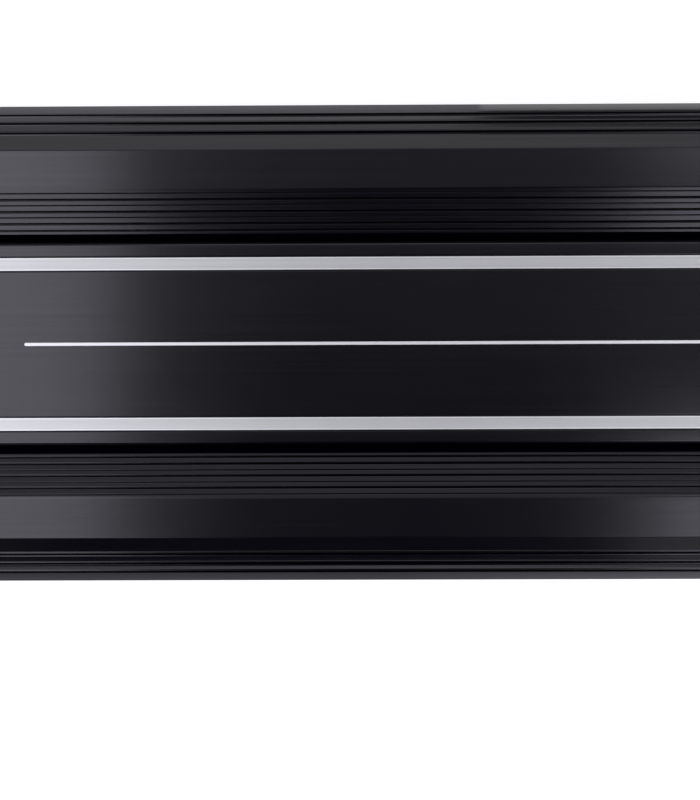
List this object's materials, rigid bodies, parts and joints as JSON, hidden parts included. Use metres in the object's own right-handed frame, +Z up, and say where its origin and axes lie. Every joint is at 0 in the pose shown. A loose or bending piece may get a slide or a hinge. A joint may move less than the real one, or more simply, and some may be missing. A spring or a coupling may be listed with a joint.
{
  "type": "car audio amplifier",
  "caption": "Long low car audio amplifier: black finned aluminium heatsink case with cable clamps at one end, signal jacks and rotary controls at the other.",
  "frame": {"origin": "centre of the footprint, on the surface the amplifier stands on", "axes": "+X along the extrusion towards the cable clamps, +Y across it, +Z up out of the finned top"},
  "size_m": [0.8, 0.24, 0.06],
  "materials": {
    "black_anodised": "brushed and anodised black",
    "black_paint": "fine matt powder coat",
    "black_nylon": "moulded, fine grain",
    "nickel": "satin nickel plate over brass",
    "gold_plate": "polished gold plate",
    "black_steel": "black oxide",
    "knob_plastic": "semi gloss",
    "circuit_board": "green solder mask",
    "copper_winding": "enamelled copper wire",
    "capacitor_sleeve": "shrink sleeve",
    "epoxy": "moulded epoxy",
    "plated_bar": "mill",
    "lens": "clear tinted"
  },
  "bodies": {
    "case": {"heatsink_extrusion": "black_anodised", "bottom_plate": "black_paint", "power_end_plate": "black_paint", "control_end_plate": "black_paint", "power_plate_screw_1": "black_steel", "power_plate_screw_2": "black_steel", "power_plate_screw_3": "black_steel", "power_plate_screw_4": "black_steel", "control_plate_screw_1": "black_steel", "control_plate_screw_2": "black_steel", "control_plate_screw_3": "black_steel", "control_plate_screw_4": "black_steel", "power_terminal_housing": "black_nylon", "ground_clamp_block": "nickel", "remote_clamp_block": "nickel", "battery_clamp_block": "nickel", "speaker_terminal_housing": "black_nylon", "speaker_minus_clamp_block": "nickel", "speaker_plus_clamp_block": "nickel", "status_led": "lens", "gain_potentiometer": "epoxy", "low_pass_potentiometer": "epoxy", "subsonic_potentiometer": "epoxy", "bass_boost_potentiometer": "epoxy", "rca_jack_housing": "black_nylon", "rca_jack_sleeve_1": "gold_plate", "rca_jack_sleeve_2": "gold_plate", "rca_jack_sleeve_3": "gold_plate", "rca_jack_sleeve_4": "gold_plate", "phase_switch_body": "epoxy", "bass_remote_socket": "black_nylon", "preamp_board": "circuit_board", "output_stage_board": "circuit_board", "power_supply_board": "circuit_board", "power_transformer_1": "copper_winding", "power_transformer_2": "copper_winding", "power_transformer_3": "copper_winding", "output_inductor": "copper_winding", "filter_capacitor_1": "capacitor_sleeve", "filter_capacitor_2": "capacitor_sleeve", "filter_capacitor_3": "capacitor_sleeve", "filter_capacitor_4": "capacitor_sleeve", "transistor_row_rear": "epoxy", "transistor_clamp_bar_rear": "plated_bar", "transistor_row_front": "epoxy", "transistor_clamp_bar_front": "plated_bar"},
    "gain_control": {"gain_knob": "knob_plastic"},
    "low_pass_control": {"low_pass_knob": "knob_plastic"},
    "subsonic_control": {"subsonic_knob": "knob_plastic"},
    "bass_boost_control": {"bass_boost_knob": "knob_plastic"},
    "phase_lever": {"phase_switch_lever": "knob_plastic"},
    "ground_screw_1": {"ground_clamp_screw_1": "black_steel"},
    "ground_screw_2": {"ground_clamp_screw_2": "black_steel"},
    "remote_screw": {"remote_clamp_screw": "black_steel"},
    "battery_screw_1": {"battery_clamp_screw_1": "black_steel"},
    "battery_screw_2": {"battery_clamp_screw_2": "black_steel"},
    "speaker_minus_screw_1": {"speaker_minus_clamp_screw_1": "black_steel"},
    "speaker_minus_screw_2": {"speaker_minus_clamp_screw_2": "black_steel"},
    "speaker_plus_screw_1": {"speaker_plus_clamp_screw_1": "black_steel"},
    "speaker_plus_screw_2": {"speaker_plus_clamp_screw_2": "black_steel"}
  },
  "joints": [
    {"name": "gain_turn", "type": "hinge", "parent": "case", "child": "gain_control", "pos_m": [-0.38, -0.088, 0.027], "axis": [1, 0, 0], "range_deg": [-150, 150]},
    {"name": "low_pass_turn", "type": "hinge", "parent": "case", "child": "low_pass_control", "pos_m": [-0.38, -0.068, 0.027], "axis": [1, 0, 0], "range_deg": [-150, 150]},
    {"name": "subsonic_turn", "type": "hinge", "parent": "case", "child": "subsonic_control", "pos_m": [-0.38, -0.048, 0.027], "axis": [1, 0, 0], "range_deg": [-150, 150]},
    {"name": "bass_boost_turn", "type": "hinge", "parent": "case", "child": "bass_boost_control", "pos_m": [-0.38, -0.028, 0.027], "axis": [1, 0, 0], "range_deg": [-150, 150]},
    {"name": "phase_slide", "type": "slide", "parent": "case", "child": "phase_lever", "axis": [0, 1, 0], "range_m": [0, 0.004]},
    {"name": "ground_clamp_1", "type": "slide", "parent": "case", "child": "ground_screw_1", "axis": [0, 0, -1], "range_m": [0, 0.009]},
    {"name": "ground_clamp_2", "type": "slide", "parent": "case", "child": "ground_screw_2", "axis": [0, 0, -1], "range_m": [0, 0.009]},
    {"name": "remote_clamp", "type": "slide", "parent": "case", "child": "remote_screw", "axis": [0, 0, -1], "range_m": [0, 0.0023]},
    {"name": "battery_clamp_1", "type": "slide", "parent": "case", "child": "battery_screw_1", "axis": [0, 0, -1], "range_m": [0, 0.009]},
    {"name": "battery_clamp_2", "type": "slide", "parent": "case", "child": "battery_screw_2", "axis": [0, 0, -1], "range_m": [0, 0.009]},
    {"name": "speaker_minus_clamp_1", "type": "slide", "parent": "case", "child": "speaker_minus_screw_1", "axis": [0, 0, -1], "range_m": [0, 0.0055]},
    {"name": "speaker_minus_clamp_2", "type": "slide", "parent": "case", "child": "speaker_minus_screw_2", "axis": [0, 0, -1], "range_m": [0, 0.0055]},
    {"name": "speaker_plus_clamp_1", "type": "slide", "parent": "case", "child": "speaker_plus_screw_1", "axis": [0, 0, -1], "range_m": [0, 0.0055]},
    {"name": "speaker_plus_clamp_2", "type": "slide", "parent": "case", "child": "speaker_plus_screw_2", "axis": [0, 0, -1], "range_m": [0, 0.0055]}
  ]
}
